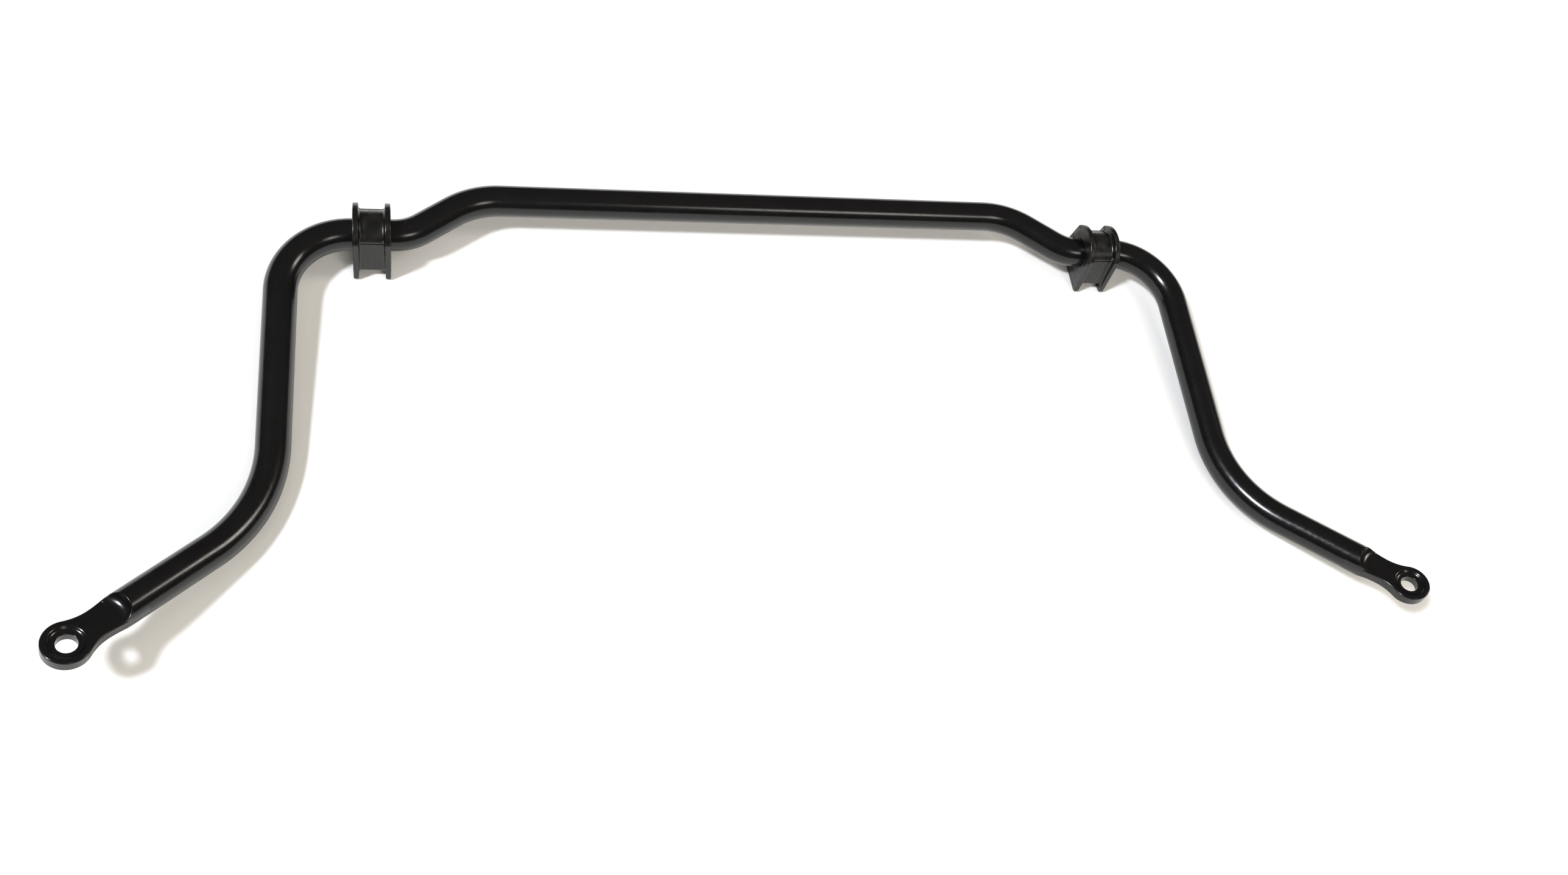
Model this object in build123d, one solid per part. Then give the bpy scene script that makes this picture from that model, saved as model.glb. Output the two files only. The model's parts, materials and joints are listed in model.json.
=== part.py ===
"""Sway bar (anti-roll bar) with its two rubber D-bushes.

Row frame, millimetres: +X across the car along the bush axis, +Y from the link eyes towards the
middle of the bar, +Z up. The origin is the centre of the footprint, on the ground that the bush
feet and the undersides of the two arms rest on. Both halves are mirror images across X = 0.
"""

from build123d import *
import math
import os

# Bar: corners of the centre line of the right half, and the bend radius at each
BAR_R = 13.5
SEAT_Y = 165.0  # the straight seats that turn in the bushes lie on Y = SEAT_Y, Z = SEAT_Z
SEAT_Z = 28.0
MIDDLE_BEND = (250.0, SEAT_Y + 38.5, SEAT_Z + 1.5)
SHOULDER = (305.0, SEAT_Y, SEAT_Z)
ARM_BEND = (406.5, SEAT_Y, SEAT_Z)
KNEE = (411.5, -84.0, 10.45)
EYE = (536.5, -199.6, 50.5)
BEND_RADII = (72.0, 42.0, 56.5, 122.0)  # middle bend, shoulder, arm bend, knee

# Forged link eye: a plate on the bar's axis, flat above and below
PLATE_T = 9.5
EYE_R = 17.0
EYE_EDGE_R = 1.0
BORE_R = 7.25
DISH_R = 12.7  # round seat sunk into the upper face, around the bore
DISH_DEPTH = 2.2
DISH_FILLET_R = 1.6
NECK_HALF = 11.4
NECK_BLEND_R = 38.0  # hollow curve from the neck out to the eye
ROOT_HALF = 13.0
ROOT_FROM_EYE = 42.0  # where the plate starts, inside the round bar
ROUND_END_FROM_EYE = 36.0
SCOOP_FROM_EYE = 46.5  # where the flat has run out into the round bar
SCOOP_PLAN_R = 24.0
SCOOP_FILLET_R = 8.5

# D-bushes: two flanges with feet, and a channel between them for the saddle clamp
BUSH_X = 335.4
BUSH_LENGTH = 30.6
BORE_CLEARANCE = 0.05
FLANGE_T = 4.6
FLANGE_R = 26.6
SHOULDER_HALF = 22.3  # the flange's round top ends here, and its sides run out to the foot
SHOULDER_Z = 14.5  # heights from the bush axis
FOOT_HALF = 27.6
FOOT_CORNER_R = 3.7
SADDLE_R = 21.0
LEDGE_Z = 13.5
LEDGE_HALF = 17.2
BASE_HALF = 23.0
BASE_DEPTH = 19.5
SLIT = 0.4  # the bush is cut open at the back so that it can be pushed over the bar


def end_direction():
    """Unit vector along the last run, from the knee to the right eye."""
    return (Vector(*EYE) - Vector(*KNEE)).normalized()


def eye_plane():
    """Plane at the right eye's centre: x away from the bar, z out of the eye's upper face."""
    along = end_direction()
    across = Vector(0, 0, 1).cross(along).normalized()
    return Plane(origin=EYE, x_dir=along, z_dir=along.cross(across))


def bar_path():
    """Centre line of the round bar, from the left eye's root to the right eye's root."""
    round_end = Vector(*EYE) - end_direction() * ROUND_END_FROM_EYE
    half = [Vector(*point) for point in (MIDDLE_BEND, SHOULDER, ARM_BEND, KNEE)] + [round_end]
    mirrored = [Vector(-point.X, point.Y, point.Z) for point in reversed(half)]
    radii = list(reversed(BEND_RADII)) + list(BEND_RADII)
    return FilletPolyline(*mirrored, *half, radius=radii)


def round_bar():
    path = bar_path()
    section = Plane(origin=path @ 0, z_dir=path % 0) * Circle(BAR_R)
    return sweep(section, path=path)


def eye_plate():
    """Forged plate in the eye's own plane: wide root, waisted neck, round eye, rounded rims."""
    waist = NECK_HALF + NECK_BLEND_R
    touch = math.sqrt((EYE_R + NECK_BLEND_R) ** 2 - waist**2)
    lean = math.degrees(math.atan2(waist, touch))
    with BuildSketch() as outline:
        with BuildLine():
            Spline((-ROOT_FROM_EYE, ROOT_HALF), (-touch, NECK_HALF), tangents=((1, -0.1), (1, 0)))
            blend = CenterArc((-touch, waist), NECK_BLEND_R, -90, 90 - lean)
            meet = blend @ 1
            mirror(about=Plane.XZ)
            Line((-ROOT_FROM_EYE, ROOT_HALF), (-ROOT_FROM_EYE, -ROOT_HALF))
            ThreePointArc(meet, (EYE_R, 0), (meet.X, -meet.Y))
        make_face()
    plate = extrude(outline.sketch, PLATE_T / 2, both=True)
    flats = plate.faces().filter_by(Axis.Z)
    rims = [edge for edge in flats.edges() if edge.center().X > 1 - ROOT_FROM_EYE]
    return fillet(rims, EYE_EDGE_R)


def dish_tool():
    """Round seat and bore of the eye."""
    top = PLATE_T / 2
    dish = Pos(0, 0, top) * Cylinder(DISH_R, 2 * DISH_DEPTH)
    dish = fillet(dish.edges().group_by(Axis.Z)[0], DISH_FILLET_R)
    return dish + Cylinder(BORE_R, 2 * PLATE_T)


def scoop_tool():
    """Flattens the round bar above the plate, and runs out into it in a curved, hollow end."""
    height = BAR_R
    floor_z = PLATE_T / 2 + height / 2
    centre = SCOOP_PLAN_R - SCOOP_FROM_EYE
    end = Pos(centre, 0, floor_z) * Cylinder(SCOOP_PLAN_R, height)
    end = fillet(end.edges().group_by(Axis.Z)[0], SCOOP_FILLET_R)
    length = EYE_R - centre
    flat = Pos(centre + length / 2, 0, floor_z) * Box(length, 2 * SCOOP_PLAN_R, height)
    return end + flat


def make_bar():
    place = eye_plane()
    above = scoop_tool()
    below = mirror(above, about=Plane.XY)
    scoops = place * (above + below)
    plate = place * eye_plate()
    seat = place * dish_tool()
    bar = round_bar() - scoops - mirror(scoops, about=Plane.YZ)
    bar = bar + plate + mirror(plate, about=Plane.YZ)
    return bar - seat - mirror(seat, about=Plane.YZ)


def flange_outline():
    """D shape: round top, sides that run straight out to a wider foot with rounded corners."""
    corners = [
        (-FOOT_HALF, -SEAT_Z),
        (FOOT_HALF, -SEAT_Z),
        (SHOULDER_HALF, SHOULDER_Z),
        (-SHOULDER_HALF, SHOULDER_Z),
    ]
    crown = Circle(FLANGE_R) & (Pos(0, SHOULDER_Z + FLANGE_R) * Rectangle(3 * FLANGE_R, 2 * FLANGE_R))
    outline = crown + make_face(Polyline(*corners, close=True))
    return fillet(outline.vertices().group_by(Axis.Y)[0], FOOT_CORNER_R)


def channel_outline():
    """Section of the saddle between the flanges: round on top, a ledge, then drafted flat sides."""
    crown = Circle(SADDLE_R) & (Pos(0, LEDGE_Z + SADDLE_R) * Rectangle(3 * SADDLE_R, 2 * SADDLE_R))
    corners = [
        (-BASE_HALF, -BASE_DEPTH),
        (BASE_HALF, -BASE_DEPTH),
        (LEDGE_HALF, LEDGE_Z),
        (-LEDGE_HALF, LEDGE_Z),
    ]
    return crown + make_face(Polyline(*corners, close=True))


def make_bush(side):
    """D-bush on the left (-1) or right (+1) seat."""
    sections = Plane.YZ
    inner_half = BUSH_LENGTH / 2 - FLANGE_T
    body = extrude(sections * channel_outline(), BUSH_LENGTH / 2, both=True)
    flange = Pos(inner_half, 0, 0) * extrude(sections * flange_outline(), FLANGE_T)
    body = body + flange + mirror(flange, about=Plane.YZ)
    body = body - Rot(0, 90, 0) * Cylinder(BAR_R + BORE_CLEARANCE, 2 * BUSH_LENGTH)
    body = body - Pos(0, FLANGE_R, 0) * Box(2 * BUSH_LENGTH, 2 * FLANGE_R, SLIT)
    return Pos(side * BUSH_X, SEAT_Y, SEAT_Z) * body


def main():
    pieces = {"bar": make_bar()}
    for name, side in (("left", -1), ("right", 1)):
        pieces[name + "_bush"] = make_bush(side)
    os.makedirs("parts", exist_ok=True)
    for node, piece in pieces.items():
        export_step(piece, os.path.join("parts", node + ".step"))
        box = piece.bounding_box()
        print(node, "solids", len(piece.solids()), "volume", round(piece.volume), box.min, box.max)


if __name__ == "__main__":
    main()
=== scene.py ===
"""Looks of the sway bar: a bent bar of black-coated steel with forged link eyes, and its two moulded
rubber D-bushes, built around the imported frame, with a plain pale stage.

Shapes are worked out in millimetres and turned into metres when their mesh is made."""

import json
import math

import bmesh
import bpy
import numpy as np
from bpy.props import FloatProperty, FloatVectorProperty, PointerProperty, StringProperty
from mathutils import Matrix, Vector


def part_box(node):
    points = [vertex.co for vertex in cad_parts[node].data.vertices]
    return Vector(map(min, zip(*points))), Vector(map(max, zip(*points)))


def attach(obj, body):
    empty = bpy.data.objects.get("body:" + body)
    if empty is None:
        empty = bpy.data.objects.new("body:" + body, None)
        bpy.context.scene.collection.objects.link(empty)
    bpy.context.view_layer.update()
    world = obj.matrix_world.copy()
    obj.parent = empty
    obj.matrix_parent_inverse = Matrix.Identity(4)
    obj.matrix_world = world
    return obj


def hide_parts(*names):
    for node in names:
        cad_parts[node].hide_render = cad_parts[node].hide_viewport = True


bl_info = {
    "name": "Sway bar",
    "version": (1, 0, 0),
    "blender": (4, 5, 0),
    "location": "View3D > Sidebar > Sway bar",
    "description": "Builds a sway bar with forged eyes and rubber D-bushes",
    "category": "Add Mesh",
}

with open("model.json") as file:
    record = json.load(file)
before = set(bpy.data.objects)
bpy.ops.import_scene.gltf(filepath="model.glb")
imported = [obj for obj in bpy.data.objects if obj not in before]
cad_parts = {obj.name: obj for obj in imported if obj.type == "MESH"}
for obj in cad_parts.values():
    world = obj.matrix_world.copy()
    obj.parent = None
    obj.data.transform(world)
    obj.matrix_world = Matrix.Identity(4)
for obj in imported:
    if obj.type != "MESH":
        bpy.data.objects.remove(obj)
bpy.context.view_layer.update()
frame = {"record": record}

MM = 0.001
SIDES = (("left", -1), ("right", 1))
FLIP_X = np.array([-1, 1, 1])


# ---------------------------------------------------------------- facts read from the frame


def joint_place(name):
    """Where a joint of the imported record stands, in millimetres."""
    joints = {joint["name"]: joint for joint in frame["record"]["behaviour"]["joints"]}
    return np.array(joints[name]["pos_m"]) / MM


def mount(name):
    """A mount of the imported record: its place in millimetres, its axis and its dimensions."""
    found = {entry["name"]: entry for entry in frame["record"]["mounts"]}[name]
    return np.array(found["pos_m"]) / MM, np.array(found["axis"]), found["dims"]


# ---------------------------------------------------------------- sizes and colours


class BarSizes(bpy.types.PropertyGroup):
    """Sizes of the bar in millimetres, and the colour of its coating."""

    radius: FloatProperty(name="Radius", description="Radius of the round bar", default=13.5)
    set_back: FloatProperty(
        name="Set-back", description="How far the middle run stands behind the bush seats", default=38.5
    )
    lift: FloatProperty(
        name="Lift", description="How far the middle run stands above the seats", default=1.5
    )
    middle_half: FloatProperty(
        name="Middle half length", description="From the middle to its first bend corner", default=250.0
    )
    shoulder: FloatProperty(
        name="Shoulder", description="Side distance of the shoulder corner", default=305.0
    )
    arm: FloatProperty(
        name="Arm", description="Side distance of the arm's bend corner", default=406.5
    )
    knee_side: FloatProperty(
        name="Knee side", description="Side distance of the knee corner", default=411.5
    )
    knee_reach: FloatProperty(
        name="Knee reach", description="Knee corner forward of the seats", default=249.0
    )
    knee_height: FloatProperty(
        name="Knee height", description="Height of the knee corner", default=10.45
    )
    bend_middle: FloatProperty(name="Middle bend", description="Centre-line radius", default=72.0)
    bend_shoulder: FloatProperty(
        name="Shoulder bend", description="Centre-line radius", default=42.0
    )
    bend_arm: FloatProperty(name="Arm bend", description="Centre-line radius", default=56.5)
    bend_knee: FloatProperty(name="Knee bend", description="Centre-line radius", default=122.0)
    coat: StringProperty(
        name="Coat", description="sRGB hex of the black coating", default="#080809"
    )


class EyeSizes(bpy.types.PropertyGroup):
    """Sizes of the forged link eye in millimetres."""

    radius: FloatProperty(name="Radius", description="Outer radius of the eye", default=17.0)
    thickness: FloatProperty(
        name="Thickness", description="Thickness of the forged plate", default=9.5
    )
    dish_radius: FloatProperty(
        name="Dish radius", description="Round seat around the bore", default=12.7
    )
    dish_depth: FloatProperty(name="Dish depth", description="Depth of the round seat", default=2.2)
    neck_half: FloatProperty(
        name="Neck", description="Half width at the waist of the neck", default=11.4
    )
    root_at: FloatProperty(
        name="Root place", description="Where the neck starts to narrow", default=50.0
    )
    scoop_at: FloatProperty(
        name="Scoop", description="Run-out of the flat to eye centre", default=46.5
    )
    scoop_plan: FloatProperty(
        name="Scoop plan radius", description="Curve of the crease", default=24.0
    )
    scoop_fillet: FloatProperty(
        name="Scoop fillet", description="Hollow corner of the scoop", default=8.5
    )


class BushSizes(bpy.types.PropertyGroup):
    """Sizes of a D-bush in millimetres, from its own axis, and the colour of its rubber."""

    flange_radius: FloatProperty(
        name="Flange radius", description="Round top of the flanges", default=26.6
    )
    flange_thickness: FloatProperty(
        name="Flange", description="Thickness of each flange", default=4.6
    )
    shoulder_half: FloatProperty(
        name="Shoulder half", description="Half width under the round top", default=22.3
    )
    shoulder_height: FloatProperty(
        name="Shoulder", description="Height where the sides start", default=14.5
    )
    foot_half: FloatProperty(name="Foot half", description="Half width at the foot", default=27.6)
    saddle_radius: FloatProperty(
        name="Saddle radius", description="Seat of the clamp", default=21.0
    )
    ledge_height: FloatProperty(
        name="Ledge", description="Height where the saddle's side starts", default=13.5
    )
    ledge_half: FloatProperty(
        name="Ledge half", description="Half width at the ledge", default=17.2
    )
    base_half: FloatProperty(name="Base half", description="Half width at the base", default=23.0)
    base_depth: FloatProperty(name="Base depth", description="Base below the axis", default=19.5)
    rubber: StringProperty(name="Rubber", description="sRGB hex of the rubber", default="#0C0C0B")


class StageSizes(bpy.types.PropertyGroup):
    """Floor, wall and camera, in metres and degrees."""

    floor_radius: FloatProperty(
        name="Floor radius", description="Flat part of the floor", default=2.6, unit="LENGTH"
    )
    cove: FloatProperty(
        name="Cove", description="Radius where the floor turns up", default=0.9, unit="LENGTH"
    )
    wall_height: FloatProperty(
        name="Wall height", description="Straight wall above the cove", default=0.6, unit="LENGTH"
    )
    camera_place: FloatVectorProperty(
        name="Camera place",
        description="Where the camera stands",
        default=(-0.3252237, -0.588044, 1.0637574),
        subtype="XYZ",
        unit="LENGTH",
    )
    lens: FloatProperty(
        name="Lens", description="Focal length on a 36 mm sensor", default=33.19, unit="CAMERA"
    )
    heading: FloatProperty(
        name="Heading", description="Degrees counter-clockwise from +Y", default=-30.2174
    )
    pitch: FloatProperty(
        name="Pitch", description="Degrees that the camera looks down", default=58.2255
    )
    roll: FloatProperty(
        name="Roll", description="Degrees that the camera leans about its view", default=25.6878
    )


GROUPS = {"sway_bar": BarSizes, "sway_eye": EyeSizes, "sway_bush": BushSizes, "sway_stage": StageSizes}


# ---------------------------------------------------------------- shape by distance

NET_MARGIN = 1.0  # room left round a shape for its net, in millimetres
SETTLE_ROUNDS = 4
FLATTEST = 0.05  # least squared slope of a field that a point still follows


def round_edge(a, b, radius):
    """Where two shapes both hold, with their meeting edge rounded to a radius."""
    outside = np.hypot(np.maximum(a + radius, 0.0), np.maximum(b + radius, 0.0))
    return np.minimum(np.maximum(a, b), -radius) + outside


def round_hollow(a, b, radius):
    """Where either shape holds, with the corner between them filled to a radius."""
    return -round_edge(-a, -b, radius)


def ease(low, high, value):
    """0 below low, 1 above high, smooth between."""
    share = np.clip((value - low) / (high - low), 0.0, 1.0)
    return share * share * (3 - 2 * share)


def crossing_sums(values, axis):
    """Sums, for every cell, where the surface crosses the cell's four edges along one axis."""
    size = [n - 1 for n in values.shape]
    start = [slice(None)] * 3
    end = [slice(None)] * 3
    start[axis] = slice(0, -1)
    end[axis] = slice(1, None)
    a, b = values[tuple(start)], values[tuple(end)]
    crossed = (a < 0) != (b < 0)
    share = np.where(crossed, a / np.where(crossed, a - b, 1.0), 0.0)
    count = np.zeros(size)
    total = np.zeros((*size, 3))
    others = [k for k in range(3) if k != axis]
    for first in (0, 1):
        for second in (0, 1):
            pick = [slice(0, size[k]) for k in range(3)]
            pick[others[0]] = slice(first, first + size[others[0]])
            pick[others[1]] = slice(second, second + size[others[1]])
            here = crossed[tuple(pick)]
            count += here
            total[..., axis] += np.where(here, share[tuple(pick)], 0.0)
            total[..., others[0]] += here * first
            total[..., others[1]] += here * second
    return count, total, crossed


def surface_net(field, low, high, cell):
    """Quad mesh of the surface where field(x, y, z) is zero, inside the box from low to high."""
    axes = [np.arange(a, b + cell, cell) for a, b in zip(low, high)]
    values = field(*np.meshgrid(*axes, indexing="ij"))
    shape = [n - 1 for n in values.shape]
    count = np.zeros(shape)
    total = np.zeros((*shape, 3))
    crossings = []
    for axis in range(3):
        more, sums, crossed = crossing_sums(values, axis)
        count += more
        total += sums
        crossings.append(crossed)
    cells = np.argwhere(count > 0)
    number = -np.ones(shape, dtype=np.int64)
    number[tuple(cells.T)] = np.arange(len(cells))
    picked = tuple(cells.T)
    points = np.array(low) + cell * (cells + total[picked] / count[picked][:, None])
    quads = []
    for axis, crossed in enumerate(crossings):
        one, two = [k for k in range(3) if k != axis]
        at = np.argwhere(crossed)
        low_enough = (at[:, one] < shape[one]) & (at[:, two] < shape[two])
        at = at[(at[:, one] > 0) & (at[:, two] > 0) & low_enough]
        steps = np.eye(3, dtype=np.int64)
        around = [at - steps[one] - steps[two], at - steps[two], at, at - steps[one]]
        faces = np.stack([number[tuple(corner.T)] for corner in around], axis=1)
        flipped = (values[tuple(at.T)] >= 0) ^ (axis == 1)
        faces[flipped] = faces[flipped][:, ::-1]
        quads.append(faces)
    return settle(field, points, cell), np.concatenate(quads)


def settle(field, points, cell):
    """Moves points onto the surface along the field's slope, in small steps."""
    step = cell / 4
    for _ in range(SETTLE_ROUNDS):
        value = field(*points.T)
        slope = np.stack(
            [
                (field(*(points + shift).T) - field(*(points - shift).T)) / (2 * step)
                for shift in np.eye(3) * step
            ],
            axis=1,
        )
        steepness = np.maximum((slope**2).sum(axis=1), FLATTEST)
        move = slope * (value / steepness)[:, None]
        points = points - np.clip(move, -cell / 2, cell / 2)
    return points


def slope_of(field, points, step=0.05):
    """Unit outward directions of a shape's surface at some points."""
    slope = np.stack(
        [field(*(points + shift).T) - field(*(points - shift).T) for shift in np.eye(3) * step],
        axis=1,
    )
    return slope / np.linalg.norm(slope, axis=1)[:, None]


# ---------------------------------------------------------------- mesh helpers


def mesh_object(name, points, faces, outward, material, body, replaced):
    """Closed piece from points in millimetres, with its true surface directions, riding on a body."""
    mesh = bpy.data.meshes.new(name)
    mesh.from_pydata((np.asarray(points) * MM).tolist(), [], [list(face) for face in faces])
    mesh.shade_smooth()
    mesh.normals_split_custom_set_from_vertices(np.asarray(outward).tolist())
    mesh.materials.append(material)
    check_closed(mesh)
    piece = bpy.data.objects.new(name, mesh)
    bpy.context.scene.collection.objects.link(piece)
    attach(piece, body)
    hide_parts(replaced)
    return piece


def check_closed(mesh):
    """Stops the script if a piece has an open edge, or is inside out."""
    shell = bmesh.new()
    shell.from_mesh(mesh)
    open_edges = sum(len(edge.link_faces) != 2 for edge in shell.edges)
    volume = shell.calc_volume(signed=True)
    shell.free()
    if open_edges or volume <= 0:
        raise RuntimeError(f"{mesh.name}: {open_edges} open edges, volume {volume}")


def sheet_faces(grid):
    """Quads between the rows of a grid of point numbers, each row a closed ring."""
    after = np.roll(grid, -1, axis=1)
    return np.stack([grid[:-1], grid[1:], after[1:], after[:-1]], axis=-1).reshape(-1, 4).tolist()


def zip_loops(first, first_angle, second, second_angle):
    """Triangles between two rings of point numbers, each with its angles round the same axis."""
    first = first[np.argsort(first_angle)]
    second = second[np.argsort(second_angle)]
    # each ring's angles once more round, to find the next point past the last one
    first_angle = np.append(np.sort(first_angle), math.tau + first_angle.min())
    second_angle = np.append(np.sort(second_angle), math.tau + second_angle.min())
    faces = []
    i = j = 0
    while i < len(first) or j < len(second):
        a, b = first[i % len(first)], second[j % len(second)]
        first_done = i >= len(first)
        second_done = j >= len(second)
        if second_done or (not first_done and first_angle[i + 1] <= second_angle[j + 1]):
            i += 1
            faces.append((a, first[i % len(first)], b))
        else:
            j += 1
            faces.append((a, second[j % len(second)], b))
    return faces


# ---------------------------------------------------------------- the bar

# small shapes of the forged eye, in millimetres; places are distances from the eye's centre
NECK_BLEND = 38.0  # hollow curve from the neck out to the eye
NECK_EDGE = 2.0  # rounding where the neck cuts the round bar
ROOT_OVER = 0.1  # the neck starts this far outside the round bar
PLATE_START = 39.0  # the plate begins inside the round bar
IN_STOCK = 33.0  # further back than this the plate stays within the round bar
ROUND_END = 36.0  # and the round bar ends inside the plate
EYE_RIM = 1.1
CREASE = 0.5  # rounding of the sharp line where the flat runs out
DISH_SPREAD = 0.4  # widens the dish, whose round corner ends inside it
DISH_FILLET = 4.0
DISH_RIM = 0.9
BORE_RIM = 0.5
BORE = mount("right_link_eye")[2]["r_mm"]

# fineness of the meshes, in millimetres and degrees
EYE_CELL = 0.55
EYE_FROM = 56.0  # the finer mesh of the eye starts here
EYE_GAP = 1.0  # left between it and the last ring of the round bar, for a strip of triangles
BEND_STEP_DEG = 2.0
RUN_STEP = 7.0
AROUND = 84  # points round the bar


def bent_route(corners, radii, step):
    """Points along straight runs and round bends, at most `step` apart on the runs."""
    points = [corners[0]]
    for before, corner, after, radius in zip(corners, corners[1:], corners[2:], radii):
        inward = (corner - before) / np.linalg.norm(corner - before)
        onward = (after - corner) / np.linalg.norm(after - corner)
        turn = math.acos(np.clip(inward @ onward, -1, 1))
        start = corner - inward * radius * math.tan(turn / 2)
        side = onward - inward * (onward @ inward)
        side = side / np.linalg.norm(side)
        points += straight(points[-1], start, step)
        centre = start + side * radius
        parts = max(4, math.ceil(math.degrees(turn) / BEND_STEP_DEG))
        angles = np.linspace(0, turn, parts + 1)[1:]
        points += [centre + radius * (math.sin(a) * inward - math.cos(a) * side) for a in angles]
    points += straight(points[-1], corners[-1], step)
    return np.array(points)


def straight(start, end, step):
    """Evenly spaced points from start, which is left out, to end."""
    parts = max(1, math.ceil(np.linalg.norm(end - start) / step))
    return [start + (end - start) * k / parts for k in range(1, parts + 1)]


def tube(route, radius, around):
    """Rings of points along a route without twist, with their outward directions."""
    travel = np.gradient(route, axis=0)
    travel[1:-1] = [
        (c - b) / np.linalg.norm(c - b) + (b - a) / np.linalg.norm(b - a)
        for a, b, c in zip(route, route[1:], route[2:])
    ]
    travel /= np.linalg.norm(travel, axis=1)[:, None]
    up = np.array([0.0, 0.0, 1.0])
    angles = np.arange(around) * math.tau / around
    rings = []
    for direction in travel:
        up = up - direction * (up @ direction)
        up /= np.linalg.norm(up)
        across = np.cross(direction, up)
        rings.append(np.outer(np.cos(angles), across) + np.outer(np.sin(angles), up))
    outward = np.array(rings)
    return route[:, None, :] + radius * outward, outward


def eye_field(bar, eye):
    """Shape of the bar's forged end, x away from the bar, z out of the dished face."""
    waist = eye.neck_half + NECK_BLEND
    lean = eye.radius + NECK_BLEND
    touch = math.sqrt(lean**2 - waist**2)
    meet = -eye.radius * touch / lean
    half = eye.thickness / 2
    scoop_centre = eye.scoop_plan - eye.scoop_at

    def field(x, y, z):
        side = np.abs(y)
        height = np.abs(z)
        from_eye = np.hypot(x, y)
        widening = 1 - ease(-eye.root_at, -touch, x)
        neck = side - eye.neck_half - (bar.radius + ROOT_OVER - eye.neck_half) * widening
        neck = np.where(x > -touch, NECK_BLEND - np.hypot(x + touch, side - waist), neck)
        outline = np.minimum(from_eye - eye.radius, np.maximum(neck, x - meet))
        plate = round_edge(outline, height - half, EYE_RIM)
        plate = np.maximum(plate, -x - PLATE_START)
        plate = np.where(x < -IN_STOCK, np.maximum(plate, np.hypot(y, z) - bar.radius), plate)
        wall = np.hypot(np.minimum(x - scoop_centre, 0.0), y) - eye.scoop_plan
        scoop = round_edge(half - height, wall, eye.scoop_fillet)
        stock = round_edge(np.hypot(y, z) - bar.radius, neck, NECK_EDGE)
        stock = round_edge(stock, -scoop, CREASE)
        stock = np.maximum(stock, x + ROUND_END)
        shape = np.minimum(plate, stock)
        dish_wall = from_eye - eye.dish_radius - DISH_SPREAD
        dish = round_edge(dish_wall, half - eye.dish_depth - z, DISH_FILLET)
        shape = round_edge(shape, -dish, DISH_RIM)
        return round_edge(shape, BORE - from_eye, BORE_RIM)

    return field


def open_ring(quads):
    """Point numbers on the one open end of a mesh."""
    sides = np.sort(np.concatenate([quads[:, [k, (k + 1) % 4]] for k in range(4)]), axis=1)
    edges, uses = np.unique(sides, axis=0, return_counts=True)
    return np.unique(edges[uses == 1])


def eye_place(eye):
    """Centre of the right eye's plate, and the direction out of its dished face."""
    middle, out, _ = mount("right_link_eye")
    centre = middle + out * eye.dish_depth / 2
    return centre, out


def bar_route(bar, seat, knee, end):
    """Centre line of the round bar from the left arm's end to the right arm's end."""
    half = [
        np.array([bar.middle_half, seat[1] + bar.set_back, seat[2] + bar.lift]),
        np.array([bar.shoulder, seat[1], seat[2]]),
        np.array([bar.arm, seat[1], seat[2]]),
        knee,
        end,
    ]
    bends = [bar.bend_middle, bar.bend_shoulder, bar.bend_arm, bar.bend_knee]
    return bent_route([p * FLIP_X for p in half[::-1]] + half, bends[::-1] + bends, RUN_STEP)


class SWAY_OT_bar(bpy.types.Operator):
    """Bent round bar with a forged, dished link eye at each end, one closed mesh"""

    bl_idname = "sway.bar"
    bl_label = "Bar"

    def execute(self, context):
        bar, eye = context.scene.sway_bar, context.scene.sway_eye
        seat = joint_place("right_bush_turn")
        centre, out = eye_place(eye)
        knee = np.array([bar.knee_side, seat[1] - bar.knee_reach, bar.knee_height])
        along = (centre - knee) / np.linalg.norm(centre - knee)
        turn = np.stack([along, np.cross(out, along), out], axis=1)
        route = bar_route(bar, seat, knee, centre - along * (EYE_FROM + EYE_GAP))
        rings, outward = tube(route, bar.radius, AROUND)

        field = eye_field(bar, eye)
        wide, tall = eye.radius + NET_MARGIN, bar.radius + NET_MARGIN
        low = (-EYE_FROM, -wide, -tall)
        high = (wide, wide, tall)
        local, quads = surface_net(field, low, high, EYE_CELL)
        slope = slope_of(field, local)
        eye_points = centre + local @ turn.T
        eye_slope = slope @ turn.T

        count = len(rings)
        grid = np.arange(count * AROUND).reshape(count, AROUND)
        faces = sheet_faces(grid)
        points = [rings.reshape(-1, 3)]
        normals = [outward.reshape(-1, 3)]
        start = count * AROUND
        edge = open_ring(quads)
        edge_angle = np.arctan2(local[edge][:, 2], local[edge][:, 1]) % math.tau
        for mirrored, ring in ((False, grid[-1]), (True, grid[0])):
            sign = FLIP_X if mirrored else np.ones(3)
            points.append(eye_points * sign)
            normals.append(eye_slope * sign)
            own = quads[:, ::-1] if mirrored else quads
            faces += (own + start).tolist()
            there = ((rings.reshape(-1, 3)[ring] * sign) - centre) @ turn
            ring_angle = np.arctan2(there[:, 2], there[:, 1]) % math.tau
            strip = zip_loops(ring, ring_angle, edge + start, edge_angle)
            faces += [face[::-1] for face in strip] if mirrored else strip
            start += len(local)
        mesh_object(
            "sway_bar_forged", np.concatenate(points), faces, np.concatenate(normals),
            coated_steel(bar.coat), "bar", "bar",
        )
        return {"FINISHED"}


# ---------------------------------------------------------------- bushes

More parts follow.
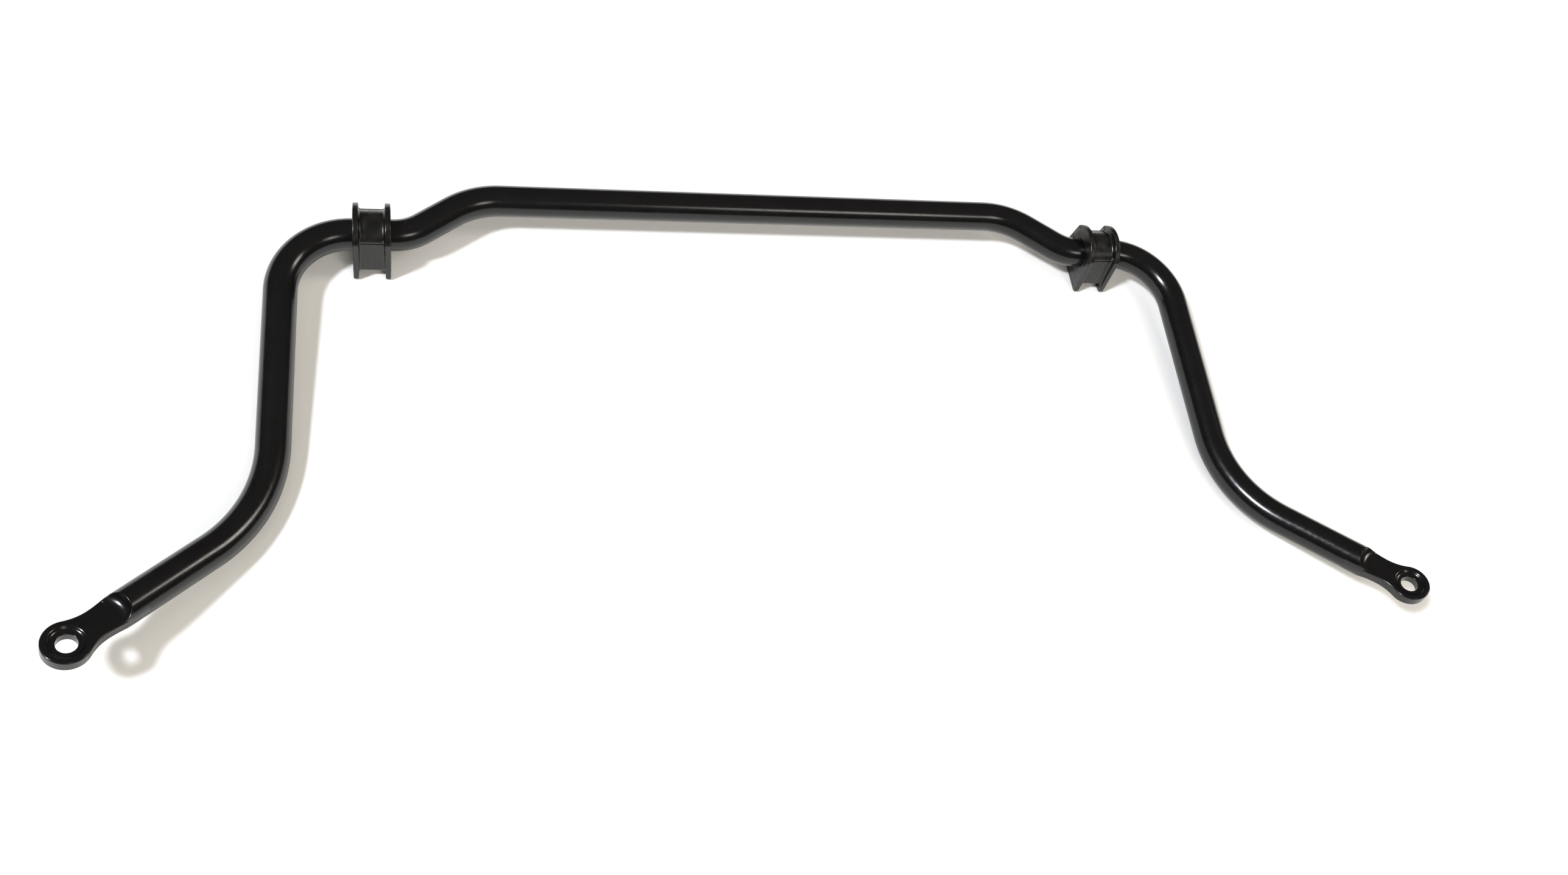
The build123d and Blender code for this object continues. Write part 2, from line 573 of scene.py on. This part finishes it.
# small shapes of the bushes, in millimetres
BORE_CLEARANCE = 0.05
FOOT_CORNER = 3.7
BASE_CORNER = 1.5
FLANGE_DRAFT = 0.03  # slope of the flanges' inner faces
FLANGE_RIM = 0.7
LEDGE_EDGE = 0.7
SADDLE_SINK = 3.0  # the saddle's round runs on this far below the ledge, inside the block
CHANNEL_END = 1.0  # the channel stops this far inside the flanges' outer faces
ROOT_FILLET = 2.2
BORE_LIP = 0.6
SLIT_HALF = 0.6  # half width of the cut's groove at the surface
SLIT_DEEP = 2.0  # and the depth at which the groove has closed
BUSH_CELL = 0.5


def bush_field(bush, bore, foot_depth, half_length):
    """Shape of a D-bush: x along its axis, z up, the grooved side at +y."""
    flare = (bush.foot_half - bush.shoulder_half) / (foot_depth + bush.shoulder_height)
    draft = (bush.base_half - bush.ledge_half) / (bush.base_depth + bush.ledge_height)

    def field(x, y, z):
        side = np.abs(y)
        reach = np.abs(x)
        from_axis = np.hypot(y, z)
        crown = np.maximum(from_axis - bush.flange_radius, bush.shoulder_height - z)
        cheek = (side - bush.shoulder_half - (bush.shoulder_height - z) * flare) / math.hypot(1, flare)
        foot = round_edge(cheek, -foot_depth - z, FOOT_CORNER)
        foot = np.maximum(foot, z - bush.shoulder_height)
        outline = np.minimum(crown, foot)
        inner = half_length - bush.flange_thickness + (from_axis - bush.flange_radius) * FLANGE_DRAFT
        flange = round_edge(outline, reach - half_length, FLANGE_RIM)
        flange = round_edge(flange, inner - reach, FLANGE_RIM)
        flank = (side - bush.ledge_half - (bush.ledge_height - z) * draft) / math.hypot(1, draft)
        block = round_edge(flank, -bush.base_depth - z, BASE_CORNER)
        block = round_edge(block, z - bush.ledge_height, LEDGE_EDGE)
        saddle = np.maximum(from_axis - bush.saddle_radius, bush.ledge_height - SADDLE_SINK - z)
        channel = np.minimum(block, saddle)
        channel = np.maximum(channel, reach - half_length + CHANNEL_END)
        shape = round_hollow(flange, channel, ROOT_FILLET)
        shape = round_edge(shape, bore - from_axis, BORE_LIP)
        slit = np.minimum(SLIT_HALF * (1 + shape / SLIT_DEEP) - np.abs(z), y)
        return np.maximum(shape, slit)

    return field


class SWAY_OT_bushes(bpy.types.Operator):
    """Two moulded rubber D-bushes, flanged at both ends, with a groove along the cut at the back"""

    bl_idname = "sway.bushes"
    bl_label = "Bushes"

    def execute(self, context):
        bush = context.scene.sway_bush
        rubber = moulded_rubber(bush.rubber)
        low, high = (np.array(corner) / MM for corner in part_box("right_bush"))
        axis = joint_place("right_bush_turn")
        half_length = (high[0] - low[0]) / 2
        bore = context.scene.sway_bar.radius + BORE_CLEARANCE
        field = bush_field(bush, bore, axis[2] - low[2], half_length)
        start, end = low - axis - NET_MARGIN, high - axis + NET_MARGIN
        local, quads = surface_net(field, start, end, BUSH_CELL)
        slope = slope_of(field, local)
        for name, side in SIDES:
            flip = np.array([side, 1, 1])
            faces = quads if side > 0 else quads[:, ::-1]
            place = joint_place(f"{name}_bush_turn")
            mesh_object(
                f"{name}_d_bush", place + local * flip, faces, slope * flip,
                rubber, f"{name}_bush", f"{name}_bush",
            )
        return {"FINISHED"}


# ---------------------------------------------------------------- materials


def linear(code):
    """Linear RGBA from an sRGB hex colour."""
    parts = [int(code[k : k + 2], 16) / 255 for k in (1, 3, 5)]
    return [p / 12.92 if p <= 0.04045 else ((p + 0.055) / 1.055) ** 2.4 for p in parts] + [1.0]


def per_mm(size):
    """Pattern scale for features of this size in millimetres."""
    return 1 / (size * MM)


def add(tree, kind, inputs=None, **settings):
    """New node with its settings; an input is a plain value or another node's output."""
    node = tree.nodes.new(kind)
    for key, value in settings.items():
        setattr(node, key, value)
    for key, value in (inputs or {}).items():
        if isinstance(value, bpy.types.NodeSocket):
            tree.links.new(value, node.inputs[key])
        else:
            node.inputs[key].default_value = value
    return node


def ramp(tree, source, low, high, start=0.0, end=1.0):
    """Smoothly maps source from low..high to start..end."""
    return add(
        tree, "ShaderNodeMapRange", {0: source, 1: low, 2: high, 3: start, 4: end},
        interpolation_type="SMOOTHSTEP",
    ).outputs[0]


def tint(tree, share, first, second):
    """Colour from first to second by a share."""
    node = add(tree, "ShaderNodeMix", {0: share, 6: first, 7: second}, data_type="RGBA")
    return node.outputs[2]


def blank(name):
    """New material: its node tree, its shader and its object coordinates."""
    material = bpy.data.materials.new(name)
    material.use_nodes = True
    tree = material.node_tree
    where = add(tree, "ShaderNodeTexCoord").outputs["Object"]
    return material, tree, tree.nodes["Principled BSDF"], where


def grain(tree, where, size, detail=2.0, rough=0.5):
    """Noise with features of a size in millimetres."""
    fields = {"Vector": where, "Scale": per_mm(size), "Detail": detail, "Roughness": rough}
    return add(tree, "ShaderNodeTexNoise", fields).outputs["Fac"]


def coated_steel(code):
    """Electro-dipped black paint on forged steel: a smooth, fairly glossy film that keeps the
    faint waviness of the hot-formed bar, is thin and paler on sharp edges, and holds a little dust.
    The paler colour on sharp edges is partly thin, worn film and partly a painted edge highlight."""
    material, tree, shader, where = blank("black_dip_coated_forged_steel")
    wave = grain(tree, where, 22.0, 2.0)
    film = grain(tree, where, 3.0, 3.0)
    # thin, paler film on sharp edges, broken up along them; this paler edge colour is also a painted
    # highlight along the edges
    edge = ramp(tree, add(tree, "ShaderNodeNewGeometry").outputs["Pointiness"], 0.54, 0.64)
    paler_edge_and_highlight = add(tree, "ShaderNodeMath", {0: edge, 1: ramp(tree, film, 0.35, 0.6)}, operation="MULTIPLY")
    # dust specks under a millimetre across, in some of the pattern's 13 mm cells
    specks = add(tree, "ShaderNodeTexVoronoi", {"Vector": where, "Scale": per_mm(13.0)}, feature="F1")
    dot = ramp(tree, specks.outputs["Distance"], 0.03, 0.015)
    rare = ramp(tree, specks.outputs["Color"], 0.66, 0.7)
    dust = add(tree, "ShaderNodeMath", {0: dot, 1: rare}, operation="MULTIPLY").outputs[0]
    body = tint(tree, ramp(tree, wave, 0.3, 0.7), linear(code), linear("#0B0B0C"))
    # paler colour on sharp edges: partly thin film, partly a painted edge highlight
    body = tint(tree, paler_edge_and_highlight.outputs[0], body, linear("#2C2C2D"))
    body = tint(tree, dust, body, linear("#3F3E3A"))
    tree.links.new(body, shader.inputs["Base Color"])
    # glossy film, matt where the dust lies
    gloss = ramp(tree, film, 0.3, 0.75, 0.17, 0.23)
    gloss = add(tree, "ShaderNodeMath", {0: dust, 1: 0.5, 2: gloss}, operation="MULTIPLY_ADD").outputs[0]
    tree.links.new(gloss, shader.inputs["Roughness"])
    shader.inputs["IOR"].default_value = 1.5
    # waviness up to a tenth of a millimetre deep, and a far finer skin
    slow = add(tree, "ShaderNodeBump", {"Height": wave, "Strength": 0.5, "Distance": 0.0001})
    fine = add(
        tree, "ShaderNodeBump",
        {"Height": film, "Strength": 0.3, "Distance": 0.00001, "Normal": slow.outputs[0]},
    )
    tree.links.new(fine.outputs[0], shader.inputs["Normal"])
    return material


def moulded_rubber(code):
    """Compression-moulded black rubber: dark, with the soft shine of a smooth mould, a fine grain,
    and a chalky bloom in clouds and on sharp edges."""
    material, tree, shader, where = blank("moulded_black_rubber")
    cloud = grain(tree, where, 9.0, 4.0)
    skin = grain(tree, where, 0.7, 3.0)
    edge = ramp(tree, add(tree, "ShaderNodeNewGeometry").outputs["Pointiness"], 0.53, 0.64)
    bloom = add(
        tree, "ShaderNodeMath", {0: edge, 1: 0.55, 2: ramp(tree, cloud, 0.45, 0.75, 0.0, 0.4)},
        operation="MULTIPLY_ADD",
    ).outputs[0]
    body = tint(tree, bloom, linear(code), linear("#242422"))
    tree.links.new(body, shader.inputs["Base Color"])
    tree.links.new(ramp(tree, cloud, 0.3, 0.7, 0.22, 0.34), shader.inputs["Roughness"])
    shader.inputs["IOR"].default_value = 1.52
    bump = add(tree, "ShaderNodeBump", {"Height": skin, "Strength": 0.3, "Distance": 0.00003})
    tree.links.new(bump.outputs[0], shader.inputs["Normal"])
    return material


def matt_paint():
    """Matt white emulsion on a studio floor: plain, with a very slight unevenness."""
    material, tree, shader, where = blank("matt_white_floor_paint")
    cloud = grain(tree, where, 260.0, 2.0)
    body = tint(tree, cloud, linear("#F3F3F0"), linear("#F6F6F3"))
    tree.links.new(body, shader.inputs["Base Color"])
    shader.inputs["Roughness"].default_value = 0.85
    shader.inputs["Specular IOR Level"].default_value = 0.2
    return material


# ---------------------------------------------------------------- stage


# name, azimuth and elevation in degrees, distance and size in metres, radiance, colour, mirrored;
# azimuth 0 is +Y and 90 is +X, and the two fills are not mirrored in the coating
LIGHTS = (
    ("key_softbox", 254, 52.5, 9.0, 1.0, 250.0, "#F4F7FF", True),
    ("right_softbox", 88, 38, 9.0, 2.2, 11.0, "#FFF8EE", True),
    ("front_softbox", 152, 46, 9.0, 1.9, 7.0, "#FFFAF2", True),
    ("front_fill", 162, 42, 6.0, 3.0, 3.3, "#FFF8EE", False),
    ("overhead_fill", 0, 90, 4.0, 3.0, 0.6, "#FFF6EA", False),
)
AIR_AT_HORIZON = 0.06
AIR_OVERHEAD = 0.17
FLOOR_MIDDLE = 0.02  # radius of the one flat face in the middle of the floor, in metres
FLOOR_RINGS = 12
COVE_RINGS = 25


def soft_light(name, azimuth, elevation, distance, size, radiance, colour, mirrored):
    """Square soft light, aimed at the middle of the floor."""
    data = bpy.data.lights.new(name, "AREA")
    data.size = size
    data.energy = radiance * math.pi * size * size
    data.color = linear(colour)[:3]
    light = bpy.data.objects.new(name, data)
    turn, tilt = math.radians(azimuth), math.radians(elevation)
    level = math.cos(tilt)
    towards = Vector((math.sin(turn) * level, math.cos(turn) * level, math.sin(tilt)))
    light.location = towards * distance
    light.rotation_mode = "QUATERNION"
    light.rotation_quaternion = (-towards).to_track_quat("-Z", "Y")
    light.visible_camera = False
    light.visible_glossy = mirrored
    bpy.context.scene.collection.objects.link(light)


def studio_air():
    """Even light from all round, dim at the horizon and brighter overhead."""
    world = bpy.data.worlds.new("studio_air")
    world.use_nodes = True
    tree = world.node_tree
    where = add(tree, "ShaderNodeTexCoord").outputs["Generated"]
    height = add(tree, "ShaderNodeSeparateXYZ", {0: where}).outputs[2]
    shell = tree.nodes["Background"]
    shell.inputs["Color"].default_value = linear("#FFF6EA")
    strength = ramp(tree, height, 0.0, 1.0, AIR_AT_HORIZON, AIR_OVERHEAD)
    tree.links.new(strength, shell.inputs["Strength"])
    return world


def lathe(name, profile, material, capped, around=128):
    """Round surface from (radius, height) pairs in metres, with a face across its first ring or open."""
    angles = np.arange(around) * math.tau / around
    points = [(r * math.cos(a), r * math.sin(a), z) for r, z in profile for a in angles]
    grid = np.arange(len(points)).reshape(-1, around)
    faces = sheet_faces(grid)
    if capped:
        faces.append(list(range(around)))
    mesh = bpy.data.meshes.new(name)
    mesh.from_pydata(points, [], faces)
    mesh.shade_smooth()
    mesh.materials.append(material)
    shell = bpy.data.objects.new(name, mesh)
    bpy.context.scene.collection.objects.link(shell)
    return shell


def camera_turn(heading, pitch, roll):
    """Camera orientation from its heading, downward pitch and roll in degrees."""
    return (
        Matrix.Rotation(math.radians(heading), 4, "Z")
        @ Matrix.Rotation(math.radians(90 - pitch), 4, "X")
        @ Matrix.Rotation(math.radians(roll), 4, "Z")
    )


class SWAY_OT_stage(bpy.types.Operator):
    """White floor, a wall that curves up round it, soft lights and the camera"""

    bl_idname = "sway.stage"
    bl_label = "Stage"

    def execute(self, context):
        stage = context.scene.sway_stage
        flat = [(r, 0.0) for r in np.linspace(FLOOR_MIDDLE, stage.floor_radius, FLOOR_RINGS)]
        cove = [
            (stage.floor_radius + stage.cove * math.sin(a), stage.cove * (1 - math.cos(a)))
            for a in np.linspace(0, math.pi / 2, COVE_RINGS)
        ]
        cove.append((cove[-1][0], stage.cove + stage.wall_height))
        paint = matt_paint()
        floor = lathe("studio_floor", flat, paint, capped=True)
        wall = lathe("studio_wall", cove, paint, capped=False)
        wall.visible_glossy = False

        context.scene.world = studio_air()
        for light in LIGHTS:
            soft_light(*light)

        data = bpy.data.cameras.new("camera")
        data.lens = stage.lens
        data.sensor_width = 36.0
        data.clip_start = 0.01
        data.clip_end = 50.0
        camera = bpy.data.objects.new("camera", data)
        turn = camera_turn(stage.heading, stage.pitch, stage.roll)
        camera.matrix_world = Matrix.Translation(stage.camera_place) @ turn
        context.scene.collection.objects.link(camera)
        context.scene.camera = camera
        context.scene.view_settings.view_transform = "Standard"
        return {"FINISHED"}


# ---------------------------------------------------------------- add-on


class SWAY_PT_panel(bpy.types.Panel):
    """Lists the pieces of the sway bar"""

    bl_label = "Sway bar"
    bl_idname = "SWAY_PT_panel"
    bl_space_type = "VIEW_3D"
    bl_region_type = "UI"
    bl_category = "Sway bar"

    def draw(self, context):
        for operator in OPERATORS:
            self.layout.operator(operator.bl_idname)
        for group in GROUPS:
            settings = getattr(context.scene, group)
            box = self.layout.box()
            for key in settings.__annotations__:
                box.prop(settings, key)


OPERATORS = (SWAY_OT_bar, SWAY_OT_bushes, SWAY_OT_stage)
CLASSES = (*GROUPS.values(), *OPERATORS, SWAY_PT_panel)


def register():
    for cls in CLASSES:
        bpy.utils.register_class(cls)
    for name, group in GROUPS.items():
        setattr(bpy.types.Scene, name, PointerProperty(type=group))


def unregister():
    for name in GROUPS:
        delattr(bpy.types.Scene, name)
    for cls in reversed(CLASSES):
        bpy.utils.unregister_class(cls)


def main():
    register()
    bpy.ops.sway.bar()
    bpy.ops.sway.bushes()
    bpy.ops.sway.stage()


if __name__ == "__main__":
    main()
